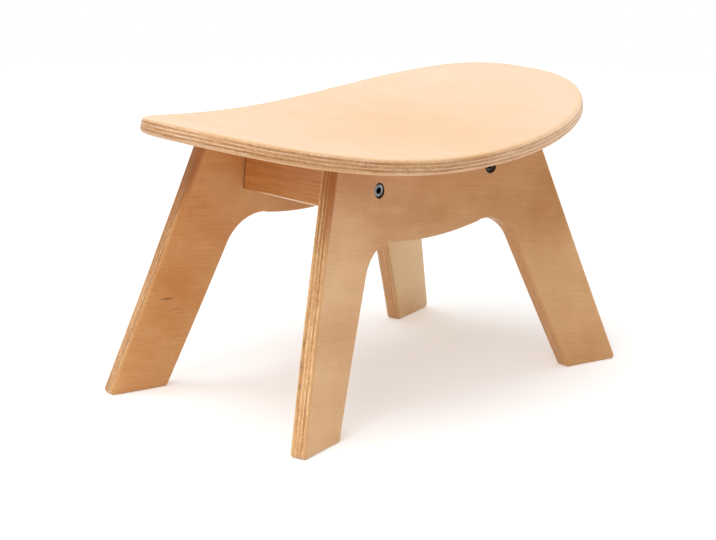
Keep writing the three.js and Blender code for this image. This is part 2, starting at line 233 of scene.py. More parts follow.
def colours(defaults):
    return [(label, "Color", tone(value)) for label, value in defaults.items()]


# Geometry Nodes: the seat, and the fittings that repeat

def seat_tree():
    """A seat pressed from a flat oval blank: outline, rounded rim and bend."""
    tree, given, leaving = open_tree(
        "pressed seat",
        "GeometryNodeTree",
        floats({
            "Length": SEAT_LENGTH,
            "Width": SEAT_WIDTH,
            "Thickness": SEAT_THICKNESS,
            "Underside": SEAT_UNDERSIDE,
            "Bend radius": SEAT_BEND_RADIUS,
            "Rim radius": SEAT_RIM_RADIUS,
            "Outline power": SEAT_OUTLINE_POWER,
        }) + [("Steps around", "Int", 320), ("Finish", "Material")],
        [("Seat", "Geometry")],
    )
    blank = wired(
        tree,
        "GeometryNodeMeshCylinder",
        {
            "Vertices": given["Steps around"],
            "Side Segments": 24,
            "Fill Segments": 22,
            "Radius": 1.0,
            "Depth": 1.0,
        },
        "Mesh",
        fill_type="TRIANGLE_FAN",
    )
    x, y, z = parts_of(wired(tree, "GeometryNodeInputPosition"))
    out = (x * x + y * y).does("sqrt")
    # Rings crowd toward the rim, so that the flat of the sheet stays flat in the light
    share_out = 1.0 - (1.0 - out) ** 2.0
    power = 2.0 / given["Outline power"]

    def outline(turn, size):
        """How far out the rim lies one way, and how far it faces that way."""
        side = turn.does("sign")
        reach = turn.does("absolute")
        return side * reach ** power * (size / 2.0), side * reach ** (2.0 - power) / size

    rim_x, facing_x = outline(x / out, given["Width"])
    rim_y, facing_y = outline(y / out, given["Length"])
    facing = (facing_x * facing_x + facing_y * facing_y).does("sqrt")
    # Round the rim: a third of its steps below, a third straight and a third above
    up = z + 0.5
    below = clamp01(up * 3.0) * (math.pi / 2)
    above = clamp01((1.0 - up) * 3.0) * (math.pi / 2)
    straight = clamp01(up * 3.0 - 1.0)
    rim = given["Rim radius"]
    flank = given["Thickness"] - rim * 2.0
    depth = rim * (1.0 - below.does("cosine") + above.does("cosine")) + flank * straight
    inset = rim * (2.0 - below.does("sine") - above.does("sine"))
    flat_x = share_out * (rim_x - inset * facing_x / facing)
    flat_y = share_out * (rim_y - inset * facing_y / facing)
    kept = wired(
        tree,
        "GeometryNodeStoreNamedAttribute",
        {"Geometry": blank, "Name": "ply_place", "Value": vector(tree, flat_x, flat_y, depth)},
        data_type="FLOAT_VECTOR",
        domain="POINT",
    )
    # Press it: a place along the blank turns about a line high above the seat
    across, along, level = parts_of(wired(
        tree, "GeometryNodeInputNamedAttribute", {"Name": "ply_place"}, "Attribute", data_type="FLOAT_VECTOR",
    ))
    angle = (along / given["Bend radius"]).does("arcsine")
    radius = given["Bend radius"] - level
    height = given["Underside"] + given["Bend radius"] - radius * angle.does("cosine")
    position = vector(tree, across, radius * angle.does("sine"), height)
    pressed = wired(tree, "GeometryNodeSetPosition", {"Geometry": kept, "Position": position})
    smooth = wired(tree, "GeometryNodeSetShadeSmooth", {"Geometry": pressed})
    return finished(tree, smooth, given, leaving)


def four_corners_tree():
    """One fitting at each corner of a rectangle, turned to face the way that its corner needs."""
    tree, given, leaving = open_tree(
        "fitting at four corners",
        "GeometryNodeTree",
        [("Fitting", "Object")] + floats({
            "Across": 0.1,
            "Along": 0.1,
            "Height": 0.1,
            "Turned on the left": 0.0,
            "Turned at the front": 0.0,
        }) + [("Finish", "Material")],
        [("Fittings", "Geometry")],
    )
    corners = wired(
        tree,
        "GeometryNodeMeshGrid",
        {"Size X": given["Across"], "Size Y": given["Along"], "Vertices X": 2, "Vertices Y": 2},
        "Mesh",
    )
    lift = vector(tree, 0.0, 0.0, given["Height"])
    raised = wired(tree, "GeometryNodeSetPosition", {"Geometry": corners, "Offset": lift})
    x, y, _ = parts_of(wired(tree, "GeometryNodeInputPosition"))
    turn = (x < 0.0) * given["Turned on the left"] + (y < 0.0) * given["Turned at the front"]
    euler = vector(tree, 0.0, 0.0, turn * math.pi)
    rotation = wired(tree, "FunctionNodeEulerToRotation", {"Euler": euler})
    shape = wired(
        tree, "GeometryNodeObjectInfo", {"Object": given["Fitting"]}, "Geometry", transform_space="ORIGINAL",
    )
    set_at_corners = wired(
        tree,
        "GeometryNodeInstanceOnPoints",
        {"Points": raised, "Instance": shape, "Rotation": rotation},
    )
    return finished(tree, set_at_corners, given, leaving)


def finished(tree, shape, given, leaving):
    """Ends a geometry tree with one plain mesh in its finish."""
    real = wired(tree, "GeometryNodeRealizeInstances", {"Geometry": shape})
    dressed = wired(tree, "GeometryNodeSetMaterial", {"Geometry": real, "Material": given["Finish"]})
    give(tree, leaving, {0: dressed})
    return tree


def into_scene(name, data):
    item = bpy.data.objects.new(name, data)
    bpy.context.scene.collection.objects.link(item)
    return item


def grow(name, tree, values):
    """A plain mesh piece from a geometry tree, with the named inputs set."""
    seed = into_scene(name + "_seed", bpy.data.meshes.new(name + "_seed"))
    modifier = seed.modifiers.new("shape", "NODES")
    modifier.node_group = tree
    sockets = {item.name: item.identifier for item in tree.interface.items_tree if item.in_out == "INPUT"}
    for label, value in values.items():
        modifier[sockets[label]] = value
    return settle(name, seed)


def settle(name, seed):
    """The evaluated shape of an object as a plain mesh piece; the object itself goes."""
    bpy.context.view_layer.update()
    evaluated = seed.evaluated_get(bpy.context.evaluated_depsgraph_get())
    mesh = bpy.data.meshes.new_from_object(evaluated)
    mesh.name = name
    piece = into_scene(name, mesh)
    bpy.data.objects.remove(seed)
    return piece


# Places on the bent panels

def panel_bow(along, depth):
    return PANEL_BEND_RADIUS - (PANEL_BEND_RADIUS + depth) * math.cos(along / PANEL_BEND_RADIUS)


def panel_point(along, climb, depth):
    bow = panel_bow(along, depth)
    return Vector((
        PANEL_STAND_OFF - climb * math.sin(PANEL_TILT) + bow * math.cos(PANEL_TILT),
        (PANEL_BEND_RADIUS + depth) * math.sin(along / PANEL_BEND_RADIUS),
        climb * math.cos(PANEL_TILT) + bow * math.sin(PANEL_TILT),
    ))


def panel_place(point):
    """Where a point lies in the flat sheet: along it, up it, and down into it from the outer face."""
    out = point.x - PANEL_STAND_OFF
    climb = point.z * math.cos(PANEL_TILT) - out * math.sin(PANEL_TILT)
    bow = out * math.cos(PANEL_TILT) + point.z * math.sin(PANEL_TILT)
    reach = PANEL_BEND_RADIUS - bow
    return Vector((
        math.atan2(point.y, reach) * PANEL_BEND_RADIUS,
        climb,
        math.hypot(point.y, reach) - PANEL_BEND_RADIUS,
    ))


def climb_to(height, along, depth):
    return (height - panel_bow(along, depth) * math.sin(PANEL_TILT)) / math.cos(PANEL_TILT)


def panel_face(y, z, depth):
    along = PANEL_BEND_RADIUS * math.asin(y / (PANEL_BEND_RADIUS + depth))
    return panel_point(along, climb_to(z, along, depth), depth).x


def under_seat(y):
    return SEAT_UNDERSIDE + SEAT_BEND_RADIUS - math.sqrt((SEAT_BEND_RADIUS + GAP) ** 2 - y ** 2)


def panel_top(along, depth):
    return climb_to(under_seat(panel_point(along, 0, depth).y), along, depth)


ARCH_HEIGHT = climb_to(SEAT_UNDERSIDE, 0, 0) - APRON_DEPTH
FOOT_INNER_REACH = FOOT_REACH - FOOT_LENGTH
BOLT_HEIGHT = SEAT_UNDERSIDE - BOLT_DROP
DOWEL_HEIGHT = BOLT_HEIGHT - DOWEL_DROP
RAIL_UNDERSIDE = SEAT_UNDERSIDE - RAIL_DEPTH
COUNTERBORE_RADIUS = BOLT_HEAD_DIAMETER / 2 + COUNTERBORE_ROOM
HEAD_SEAT = panel_face(RAIL_REACH, BOLT_HEIGHT, 0) - BOLT_SINK - BOLT_HEAD_HEIGHT - GAP
BOLT_TIP = HEAD_SEAT + GAP - BOLT_LENGTH
BOLT_BORE_END = BOLT_TIP - BOLT_END_ROOM
NUT_AXIS = BOLT_TIP + BOLT_PAST_NUT + NUT_DIAMETER / 2
DOWEL_OUTER_END = panel_face(RAIL_REACH, DOWEL_HEIGHT, PANEL_THICKNESS) + DOWEL_IN_PANEL
DOWEL_INNER_END = DOWEL_OUTER_END - DOWEL_LENGTH
SCREW_TIP = under_seat(RAIL_REACH) + GAP + SCREW_IN_SEAT
SCREW_HEAD_SEAT = SCREW_TIP - SCREW_LENGTH
SCREW_PLACE = SCREW_PLACE_SHARE * BOLT_BORE_END


def spread(first, last, steps):
    return [first + (last - first) * i / steps for i in range(steps + 1)]


def converge(start, rule, rounds=8):
    value = start
    for _ in range(rounds):
        value = rule(value)
    return value


def apron_edge(along):
    return ARCH_HEIGHT + along ** 2 / (2 * ARCH_CROWN_RADIUS)


LEG_INNER_ANGLE = math.atan(LEG_INNER_LEAN)
LEG_OUTER_ANGLE = math.atan(LEG_OUTER_LEAN)
CORNER_ACROSS = ARCH_CORNER_RADIUS / math.cos(LEG_INNER_ANGLE)
CORNER_X = converge(
    0,
    lambda x: FOOT_INNER_REACH - LEG_INNER_LEAN * (apron_edge(x) - ARCH_CORNER_RADIUS) - CORNER_ACROSS,
)
CORNER_Y = apron_edge(CORNER_X) - ARCH_CORNER_RADIUS
APRON_ANGLE = math.pi / 2 + math.atan(CORNER_X / ARCH_CROWN_RADIUS)
CORNER_REACHES = [
    CORNER_X + ARCH_CORNER_RADIUS * math.cos(angle) for angle in spread(LEG_INNER_ANGLE, APRON_ANGLE, 28)
]


def arch_edge(along):
    if along >= CORNER_REACHES[0]:
        return (FOOT_INNER_REACH - along) / LEG_INNER_LEAN
    if along > CORNER_REACHES[-1]:
        return CORNER_Y + math.sqrt(ARCH_CORNER_RADIUS ** 2 - (along - CORNER_X) ** 2)
    return apron_edge(along)


def panel_chains(depth):
    """The panel's lower and upper edges at a depth, over the same stations from foot to foot."""
    def floor(along):
        return climb_to(0, along, depth)

    def centre_climb(along):
        return floor(along) + FOOT_CORNER_RADIUS

    def corner_rise(distance):
        return math.sqrt(max(FOOT_CORNER_RADIUS ** 2 - distance ** 2, 0))

    outer_setback = FOOT_CORNER_RADIUS / math.cos(LEG_OUTER_ANGLE)
    inner_setback = FOOT_CORNER_RADIUS / math.cos(LEG_INNER_ANGLE)
    outer_centre = converge(
        FOOT_REACH,
        lambda along: FOOT_REACH - LEG_OUTER_LEAN * centre_climb(along) - outer_setback,
    )
    inner_centre = converge(
        FOOT_INNER_REACH,
        lambda along: FOOT_INNER_REACH - LEG_INNER_LEAN * centre_climb(along) + inner_setback,
    )
    outer_join = outer_centre + FOOT_CORNER_RADIUS * math.cos(LEG_OUTER_ANGLE)
    inner_join = inner_centre - FOOT_CORNER_RADIUS * math.cos(LEG_INNER_ANGLE)
    shoulder = converge(FOOT_INNER_REACH, lambda along: FOOT_REACH - LEG_OUTER_LEAN * panel_top(along, depth))
    outer_arc = spread(0, LEG_OUTER_ANGLE, 3) + spread(LEG_OUTER_ANGLE, math.pi / 2, 9)[1:]
    inner_arc = spread(math.pi / 2, LEG_INNER_ANGLE, 9)
    reaches = sorted(
        [outer_centre + FOOT_CORNER_RADIUS * math.cos(angle) for angle in outer_arc]
        + spread(outer_centre, inner_centre, 14)[1:-1]
        + [inner_centre - FOOT_CORNER_RADIUS * math.cos(angle) for angle in inner_arc]
        + spread(inner_join, shoulder, 6)[1:]
        + spread(shoulder, CORNER_REACHES[0], 8)[1:-1]
        + CORNER_REACHES
        + spread(CORNER_REACHES[-1], 0, 18)[1:],
        reverse=True,
    )

    def lower_edge(along):
        if along > outer_centre:
            return centre_climb(outer_centre) - corner_rise(along - outer_centre)
        if along >= inner_centre:
            return floor(along)
        if along >= inner_join:
            return max(floor(along), centre_climb(inner_centre) - corner_rise(inner_centre - along))
        return arch_edge(along)

    def upper_edge(along):
        if along > outer_join:
            return centre_climb(outer_centre) + corner_rise(along - outer_centre)
        return min((FOOT_REACH - along) / LEG_OUTER_LEAN, panel_top(along, depth))

    def both_halves(edge):
        half = [Vector((along, edge(along))) for along in reaches]
        return [Vector((-p.x, p.y)) for p in half] + half[-2::-1]

    return both_halves(lower_edge), both_halves(upper_edge)


def inset_loop(loop, inset):
    moved = []
    for i, point in enumerate(loop):
        arriving = (point - loop[i - 1]).normalized()
        leaving = (loop[(i + 1) % len(loop)] - point).normalized()
        inward = Vector((-arriving.y - leaving.y, arriving.x + leaving.x))
        moved.append(point + inward * (inset / (1 + arriving.dot(leaving))))
    return moved


def rounded_levels(thickness, radius, steps):
    """Depth and inset down a rounded edge, with one more ring to keep each face flat in the light."""
    face_ring = radius * 1.3
    near = [(0.0, face_ring)] + [
        (radius * (1 - math.cos(angle)), radius * (1 - math.sin(angle)))
        for angle in spread(0, math.pi / 2, steps)
    ]
    return near + [(thickness - depth, inset) for depth, inset in reversed(near)]


# Solid shapes from rings of points, and the cutters that bore them

def join_rings(mesh, rings):
    around = len(rings[0])
    for ring, next_ring in zip(rings, rings[1:]):
        for i in range(around):
            j = (i + 1) % around
            mesh.faces.new((ring[i], ring[j], next_ring[j], next_ring[i]))


def to_object(name, mesh):
    data = bpy.data.meshes.new(name)
    mesh.to_mesh(data)
    mesh.free()
    return into_scene(name, data)


def closed_object(name, mesh):
    bmesh.ops.recalc_face_normals(mesh, faces=mesh.faces)
    return to_object(name, mesh)


def bent_sheet(name, levels, chains_at, bend):
    """A closed sheet from its flat outline, level by level down through its thickness."""
    mesh = bmesh.new()
    rings = []
    for depth, inset in levels:
        first, second = chains_at(depth)
        loop = inset_loop(first + second[-2:0:-1], inset)
        rings.append([mesh.verts.new(bend(p.x, p.y, depth)) for p in loop])
    join_rings(mesh, rings)
    around = len(rings[0])
    for ring, turned in ((rings[0], True), (rings[-1], False)):
        for i in range(around // 2):
            corners = [ring[i], ring[i + 1], ring[around - i - 1], ring[(around - i) % around]]
            corners = list(dict.fromkeys(corners))
            mesh.faces.new(corners[::-1] if turned else corners)
    return closed_object(name, mesh)


def bar(axis, radius, line, start, end, sides=64):
    """A round cutter along an axis, from start to end; the line gives its place on the other two axes."""
    first, last = Vector(line), Vector(line)
    first[axis], last[axis] = start, end
    run = last - first
    turn = run.to_track_quat("Z", "Y").to_matrix().to_4x4()
    mesh = bmesh.new()
    bmesh.ops.create_cone(
        mesh,
        cap_ends=True,
        segments=sides,
        radius1=radius,
        radius2=radius,
        depth=run.length,
        matrix=Matrix.Translation((first + last) / 2) @ turn,
    )
    return to_object("cutter", mesh)


def bore(diameter):
    """The radius of a bore that has room for something of this diameter."""
    return diameter / 2 + BORE_ROOM


def bored(name, blank, cutters):
    """The blank with every cutter taken out of it, as a plain mesh piece."""
    for cutter in cutters:
        modifier = blank.modifiers.new("bore", "BOOLEAN")
        modifier.operation = "DIFFERENCE"
        modifier.solver = "EXACT"
        modifier.object = cutter
    piece = settle(name, blank)
    for cutter in cutters:
        bpy.data.objects.remove(cutter)
    return piece


def shade(piece, degrees=35):
    piece.data.shade_smooth()
    piece.data.set_sharp_from_angle(angle=math.radians(degrees))


def mark_places(piece, rule):
    """Keeps where each point lies in the flat, unbent wood, for the grain and the plies to follow."""
    attribute = piece.data.attributes.new("ply_place", "FLOAT_VECTOR", "POINT")
    for point, kept in zip(piece.data.vertices, attribute.data):
        kept.vector = rule(point.co)


def half_turned(name, piece):
    """A copy, turned half round the stool's upright axis."""
    mesh = piece.data.copy()
    mesh.name = name
    mesh.transform(Matrix.Rotation(math.pi, 4, "Z"))
    return into_scene(name, mesh)


def make_panel():
    """The right side panel, with its counterbores, bolt bores and dowel holes."""
    blank = bent_sheet(
        "panel_blank",
        rounded_levels(PANEL_THICKNESS, PANEL_EDGE_RADIUS, 6),
        panel_chains,
        panel_point,
    )
    outside = panel_face(RAIL_REACH, BOLT_HEIGHT, 0) + CUT_PAST
    inside = panel_face(RAIL_REACH, BOLT_HEIGHT, PANEL_THICKNESS) - CUT_PAST
    cutters = []
    for y in (-RAIL_REACH, RAIL_REACH):
        bolt_line = (0, y, BOLT_HEIGHT)
        dowel_line = (0, y, DOWEL_HEIGHT)
        cutters += [
            bar(X, COUNTERBORE_RADIUS, bolt_line, HEAD_SEAT, outside),
            bar(X, bore(BOLT_DIAMETER), bolt_line, inside, outside),
            bar(X, bore(DOWEL_DIAMETER), dowel_line, inside, DOWEL_OUTER_END + GAP),
        ]
    panel = bored("right_side_panel_wood", blank, cutters)
    shade(panel)
    mark_places(panel, panel_place)
    return panel


def rail_outline():
    """The rail's section at the rear, anticlockwise: rounded below, planed to the seat's bend above."""
    inner = RAIL_REACH - RAIL_THICKNESS / 2
    outer = RAIL_REACH + RAIL_THICKNESS / 2
    low = RAIL_UNDERSIDE + RAIL_CORNER_RADIUS

    def corner(centre, start):
        return [
            (centre + RAIL_CORNER_RADIUS * math.cos(angle), low + RAIL_CORNER_RADIUS * math.sin(angle))
            for angle in spread(start, start + math.pi / 2, 8)
        ]

    top = [
        (y, under_seat(y) - max(0.0, RAIL_EASED_EDGE - min(y - inner, outer - y)))
        for y in spread(outer, inner, 8)
    ]
    outer_corner = corner(outer - RAIL_CORNER_RADIUS, -math.pi / 2)
    inner_corner = corner(inner + RAIL_CORNER_RADIUS, math.pi)
    return outer_corner + top + inner_corner


def make_rail():
    """The rear rail, with its bores for nuts, bolts, dowels and seat screws."""
    mesh = bmesh.new()
    outline = rail_outline()
    rings = [
        [mesh.verts.new(((panel_face(y, z, PANEL_THICKNESS) - GAP) * share, y, z)) for y, z in outline]
        for share in spread(-1, 1, 24)
    ]
    join_rings(mesh, rings)
    mesh.faces.new(rings[0][::-1])
    mesh.faces.new(rings[-1])
    blank = closed_object("rail_blank", mesh)
    bolt_line = (0, RAIL_REACH, BOLT_HEIGHT)
    dowel_line = (0, RAIL_REACH, DOWEL_HEIGHT)
    nut_bore_end = RAIL_REACH + NUT_LENGTH / 2 + GAP
    below = RAIL_UNDERSIDE - CUT_PAST
    cutters = []
    for side in (-1, 1):
        nut_line = (side * NUT_AXIS, 0, BOLT_HEIGHT)
        screw_line = (side * SCREW_PLACE, RAIL_REACH, 0)
        joint = side * PANEL_STAND_OFF
        cutters += [
            bar(Y, bore(NUT_DIAMETER), nut_line, RAIL_REACH - RAIL_THICKNESS, nut_bore_end),
            bar(X, bore(BOLT_DIAMETER), bolt_line, side * BOLT_BORE_END, joint),
            bar(X, bore(DOWEL_DIAMETER), dowel_line, side * (DOWEL_INNER_END - GAP), joint),
            bar(Z, bore(SCREW_HEAD_DIAMETER), screw_line, below, SCREW_HEAD_SEAT + GAP),
            bar(Z, bore(SCREW_DIAMETER), screw_line, below, SEAT_UNDERSIDE + CUT_PAST),
        ]
    rail = bored("rear_rail_wood", blank, cutters)
    shade(rail)
    mark_places(rail, lambda point: Vector((point.x, point.z - RAIL_UNDERSIDE, point.y - RAIL_REACH)))
    from_joint = rail.data.attributes.new("from_joint", "FLOAT", "POINT")
    for point, kept in zip(rail.data.vertices, from_joint.data):
        kept.value = panel_face(point.co.y, point.co.z, PANEL_THICKNESS) - abs(point.co.x)
    return rail


# Fittings, each turned about the Z axis and then laid along its own

def plain(radius, height, angle):
    return radius


def turned_body(name, profile, sides=48, shape=plain):
    """A closed turned body from (radius, height) pairs that start and end on the axis."""
    mesh = bmesh.new()
    low = mesh.verts.new((0, 0, profile[0][1]))
    high = mesh.verts.new((0, 0, profile[-1][1]))
    rings = []
    for radius, height in profile[1:-1]:
        ring = []
        for i in range(sides):
            angle = 2 * math.pi * i / sides
            r = shape(radius, height, angle)
            ring.append(mesh.verts.new((r * math.cos(angle), r * math.sin(angle), height)))
        rings.append(ring)
    for i in range(sides):
        j = (i + 1) % sides
        mesh.faces.new((low, rings[0][j], rings[0][i]))
        mesh.faces.new((high, rings[-1][i], rings[-1][j]))
    join_rings(mesh, rings)
    return closed_object(name, mesh)


def hex_bar(across, start, end):
    return bar(Z, across / 2 / math.cos(math.pi / 6), (0, 0, 0), start, end, sides=6)


def eased(radius, height, ease, upward, steps=4):
    """Points round a turned outer corner, from the side to the end, or from the end to the side."""
    way = 1 if upward else -1
    points = [
        (radius - ease + ease * math.cos(angle), height - way * ease + way * ease * math.sin(angle))
        for angle in spread(0, math.pi / 2, steps)
    ]
    return points if upward else points[::-1]


def eased_rod(radius, low, high, ease):
    """The profile of a plain rod with both its ends eased."""
    return [(0, low)] + eased(radius, low, ease, False) + eased(radius, high, ease, True) + [(0, high)]


def shank_only(radius, rule):
    """A rule for the radius that leaves alone what is narrower than the shank."""
    def shape(r, height, angle):
        return r if r < radius * 0.99 else rule(r, height, angle)
    return shape


def threaded(radius, depth, pitch, from_height, to_height):
    """How a thread cuts into a shank between two heights."""
    def cut(r, height, angle):
        if not from_height <= height <= to_height:
            return r
        turn = (height / pitch - angle / (2 * math.pi)) % 1
        return r - depth * (1 - abs(2 * turn - 1))
    return shank_only(radius, cut)


def make_bolt():
    """A socket-head bolt whose head bears at the origin and whose shank runs down."""
    head = BOLT_HEAD_DIAMETER / 2
    shank = BOLT_DIAMETER / 2
    ease, bearing_ease = 0.7 * MM, 0.3 * MM
    fillet_height, fillet_reach = 0.5 * MM, 0.4 * MM
    lead = 1 * MM
    thread_top = -BOLT_LENGTH + BOLT_THREAD_LENGTH
    steps = int((thread_top + BOLT_LENGTH - lead) / BOLT_PITCH * 6)
    profile = [(0, -BOLT_LENGTH), (shank - ease, -BOLT_LENGTH), (shank, -BOLT_LENGTH + ease)]
    profile += [(shank, h) for h in spread(-BOLT_LENGTH + lead, thread_top, steps)]
    profile += [(shank, -fillet_height), (shank + fillet_reach, 0)]
    profile += [(head - bearing_ease, 0), (head, bearing_ease)]
    profile += eased(head, BOLT_HEAD_HEIGHT, ease, True)
    profile += [(0, BOLT_HEAD_HEIGHT)]
    thread_start = -BOLT_LENGTH + 0.8 * MM
    body = turned_body(
        "bolt_blank",
        profile,
        shape=threaded(shank, BOLT_THREAD_DEPTH, BOLT_PITCH, thread_start, thread_top),
    )
    socket_floor = BOLT_HEAD_HEIGHT - BOLT_SOCKET_DEPTH
    socket = hex_bar(BOLT_SOCKET_ACROSS, socket_floor, BOLT_HEAD_HEIGHT + SOCKET_CUT_PAST)
    return bored("bolt_shape", body, [socket])


def make_nut():
    """A barrel nut, with a cross bore for its bolt and a driver slot in its upper end."""
    half = NUT_LENGTH / 2
    body = turned_body("nut_blank", eased_rod(NUT_DIAMETER / 2, -half, half, 0.6 * MM))
    slot = bmesh.new()
    bmesh.ops.create_cube(
        slot,
        matrix=Matrix.Translation((0, 0, half)) @ Matrix.Diagonal(
            (2 * NUT_DIAMETER, NUT_SLOT_WIDTH, 2 * NUT_SLOT_DEPTH, 1)),
    )
    cutters = [
        to_object("cutter", slot),
        bar(X, bore(BOLT_DIAMETER), (0, 0, 0), -NUT_DIAMETER, NUT_DIAMETER),
    ]
    return bored("nut_shape", body, cutters)


def make_dowel():
    """A fluted beech dowel that runs up from the origin."""
    radius = DOWEL_DIAMETER / 2

    def fluted(r, height, angle):
        return r - DOWEL_FLUTE_DEPTH * max(0.0, math.cos(angle * DOWEL_FLUTES)) ** 3

    return turned_body(
        "dowel_shape",
        eased_rod(radius, 0, DOWEL_LENGTH, 0.8 * MM),
        sides=DOWEL_FLUTES * 8,
        shape=shank_only(radius, fluted),
    )


def make_screw():
    """A wood screw whose head bears at the origin and whose point is up."""
    head = SCREW_HEAD_DIAMETER / 2
    shank = SCREW_DIAMETER / 2
    neck = SCREW_LENGTH - SCREW_POINT_LENGTH
    low = -SCREW_HEAD_HEIGHT
    ease, bearing_ease, tip = 0.9 * MM, 0.2 * MM, 0.3 * MM
    steps = int((neck - SCREW_SMOOTH_LENGTH) / SCREW_PITCH * 8)
    profile = [(0, low)] + eased(head, low, ease, False, 6)
    profile += [(head, -bearing_ease), (head - bearing_ease, 0), (shank, 0)]
    profile += [(shank, h) for h in spread(SCREW_SMOOTH_LENGTH, neck, steps)]
    profile += [(shank * 0.5, SCREW_LENGTH - SCREW_POINT_LENGTH / 2), (shank * 0.15, SCREW_LENGTH - tip)]
    profile += [(0, SCREW_LENGTH)]
    body = turned_body(
        "screw_blank",
        profile,
        shape=threaded(shank, SCREW_THREAD_DEPTH, SCREW_PITCH, SCREW_SMOOTH_LENGTH, neck),
    )
    socket = hex_bar(SCREW_SOCKET_ACROSS, low - SOCKET_CUT_PAST, low + SCREW_SOCKET_DEPTH)
    return bored("screw_shape", body, [socket])


# Materials: woods and metals as node groups

def linear(hex_colour):
    """A written colour as the shader's own linear numbers."""
    parts = [int(hex_colour[i:i + 2], 16) / 255 for i in (0, 2, 4)]
    return tuple(p / 12.92 if p <= 0.04045 else ((p + 0.055) / 1.055) ** 2.4 for p in parts)


def tone(hex_colour):
    return (*linear(hex_colour), 1.0)


def noise(at, scale, detail=3.0, roughness=0.5, distortion=0.0, out=0):
    inputs = {"Scale": scale, "Detail": detail, "Roughness": roughness, "Distortion": distortion}
    return wired(at.tree, "ShaderNodeTexNoise", {"Vector": at, **inputs}, out)


def scaled(at, x, y, z):
    return vector_math(at.tree, "multiply", at, (x, y, z))


def remap(wire, low, high, to_low=0.0, to_high=1.0):
    """Where a value lies between low and high, held within what it is mapped to."""
    return wired(wire.tree, "ShaderNodeMapRange", {0: wire, 1: low, 2: high, 3: to_low, 4: to_high})


def blend(share, first, second):
    return wired(share.tree, "ShaderNodeMix", {0: share, 6: first, 7: second}, 2, data_type="RGBA")


def ply_group():
    """Which ply a place lies in, and where it lies in that ply's own grain: X runs along the grain."""
    tree, given, leaving = open_tree(
        "plies",
        "ShaderNodeTree",
        [("Place", "Vector")] + floats({
            "Thickness": PANEL_THICKNESS,
            "Plies": PLY_COUNT,
            "Waviness": 0.7,
            "Near leaf slant": 0.0,
            "Far leaf slant": 0.0,
        }),
        [("Grain place", "Vector")] + [(label, "Float") for label in (
            "Tone", "Crossways", "Glue line", "Near leaf", "Far leaf", "Eased edge")],
    )
    at = given["Place"]
    x, y, depth = parts_of(at)
    plies = given["Plies"]
    level = clamp01(depth / given["Thickness"]) * plies
    # The glue lines wander, but less toward the outer leaves, whose faces stay whole
    wander = noise(scaled(at, 1.0, 1.0, 0.5), scale=30.0, detail=3.0, roughness=0.6) - 0.5
    tremble = noise(scaled(at, 1.0, 1.0, 3.0), scale=240.0, detail=2.0) - 0.5
    still, free = 0.4, 1.3
    inside = remap(level, still, free) * remap(plies - level, still, free)
    wavy = level + (wander * 2.2 + tremble * 0.7) * inside * given["Waviness"]
    ply = wavy.does("floor").does("minimum", plies - 1.0).does("maximum", 0.0)
    crossways = (ply / 2.0).does("fract") * 2.0
    near_leaf = ply < 0.5
    far_leaf = ply > plies - 1.5
    slant = near_leaf * given["Near leaf slant"] + far_leaf * given["Far leaf slant"]
    along = x * slant.does("cosine") - y * slant.does("sine")
    across = y * slant.does("cosine") + x * slant.does("sine")
    # A line of glue shows where the saw left it open, and fades where the wood closed over it
    line = (wavy + 0.5).does("floor")
    line_at = vector(tree, x + line * 0.31, y + line * 0.17, line * 0.7)
    shown = noise(line_at, scale=34.0, detail=3.0, roughness=0.65)
    from_middle = (wavy - ply - 0.5).does("absolute")
    glue = remap(from_middle, 0.35, 0.47) * (remap(shown, 0.36, 0.62, 0.1, 1.0) * inside)
    nearest = depth.does("minimum", given["Thickness"] - depth)
    eased_edge = remap(nearest, 0.05 * MM, 0.2 * MM) * remap(nearest, 1.6 * MM, 0.7 * MM)
    # Each ply takes its grain and its tone from a place of its own
    grain_place = vector(
        tree,
        along + (across - along) * crossways + ply * 0.37,
        across + (along - across) * crossways + ply * 0.11,
        depth + ply * 0.05,
    )
    leaf = wired(tree, "ShaderNodeTexWhiteNoise", {"W": ply + 3.7}, "Value", noise_dimensions="1D")
    patch_at = vector(tree, x + ply * 0.9, y + ply * 0.7, ply)
    patches = remap(noise(patch_at, scale=26.0, detail=3.0, roughness=0.6), 0.25, 0.75)
    give(tree, leaving, {
        "Grain place": grain_place,
        "Tone": (leaf - 0.5) * 0.3 + patches - 0.5,
        "Crossways": crossways,
        "Glue line": glue,
        "Near leaf": near_leaf,
        "Far leaf": far_leaf,
        "Eased edge": eased_edge,
    })
    return tree


def grain_group():
    """Fine wood: soft broad figure, fibre, and the short dark flecks of its rays, all along the grain."""
    tree, given, leaving = open_tree(
        "wood grain",
        "ShaderNodeTree",
        [("Place", "Vector")]
        + colours({"Pale": "e0b98c", "Deep": "b8834f", "Fleck": "8a5a33"})
        + floats({"Tone": 0.0, "Figure": 0.5, "Fibre": 0.5, "Flecks": 0.5}),
        [("Color", "Color"), ("Figure", "Float"), ("Height", "Float")],
    )
    at = given["Place"]
    broad = noise(scaled(at, 3.0, 20.0, 20.0), scale=2.2, detail=2.0, roughness=0.5, distortion=0.4)
    band = noise(scaled(at, 9.0, 300.0, 300.0), scale=2.0, detail=4.0, roughness=0.6, distortion=0.15)
    fibre = noise(scaled(at, 75.0, 1500.0, 1500.0), scale=1.0, detail=3.0, roughness=0.6)
    ray = noise(scaled(at, 420.0, 3400.0, 3400.0), scale=1.0, detail=1.0, roughness=0.4)
    fleck = remap(ray, 0.6, 0.74)
    figure = (remap(broad, 0.3, 0.7) * 0.4 + remap(band, 0.3, 0.7) * 0.6 - 0.5) * given["Figure"] + 0.5
    depth_of_tone = clamp01(figure + (fibre - 0.5) * given["Fibre"] + given["Tone"])
    wood = blend(depth_of_tone, given["Pale"], given["Deep"])
    give(tree, leaving, {
        "Color": blend(fleck * given["Flecks"], wood, given["Fleck"]),
        "Figure": figure,
        "Height": fibre * 0.6 - fleck * 0.8,
    })
    return tree


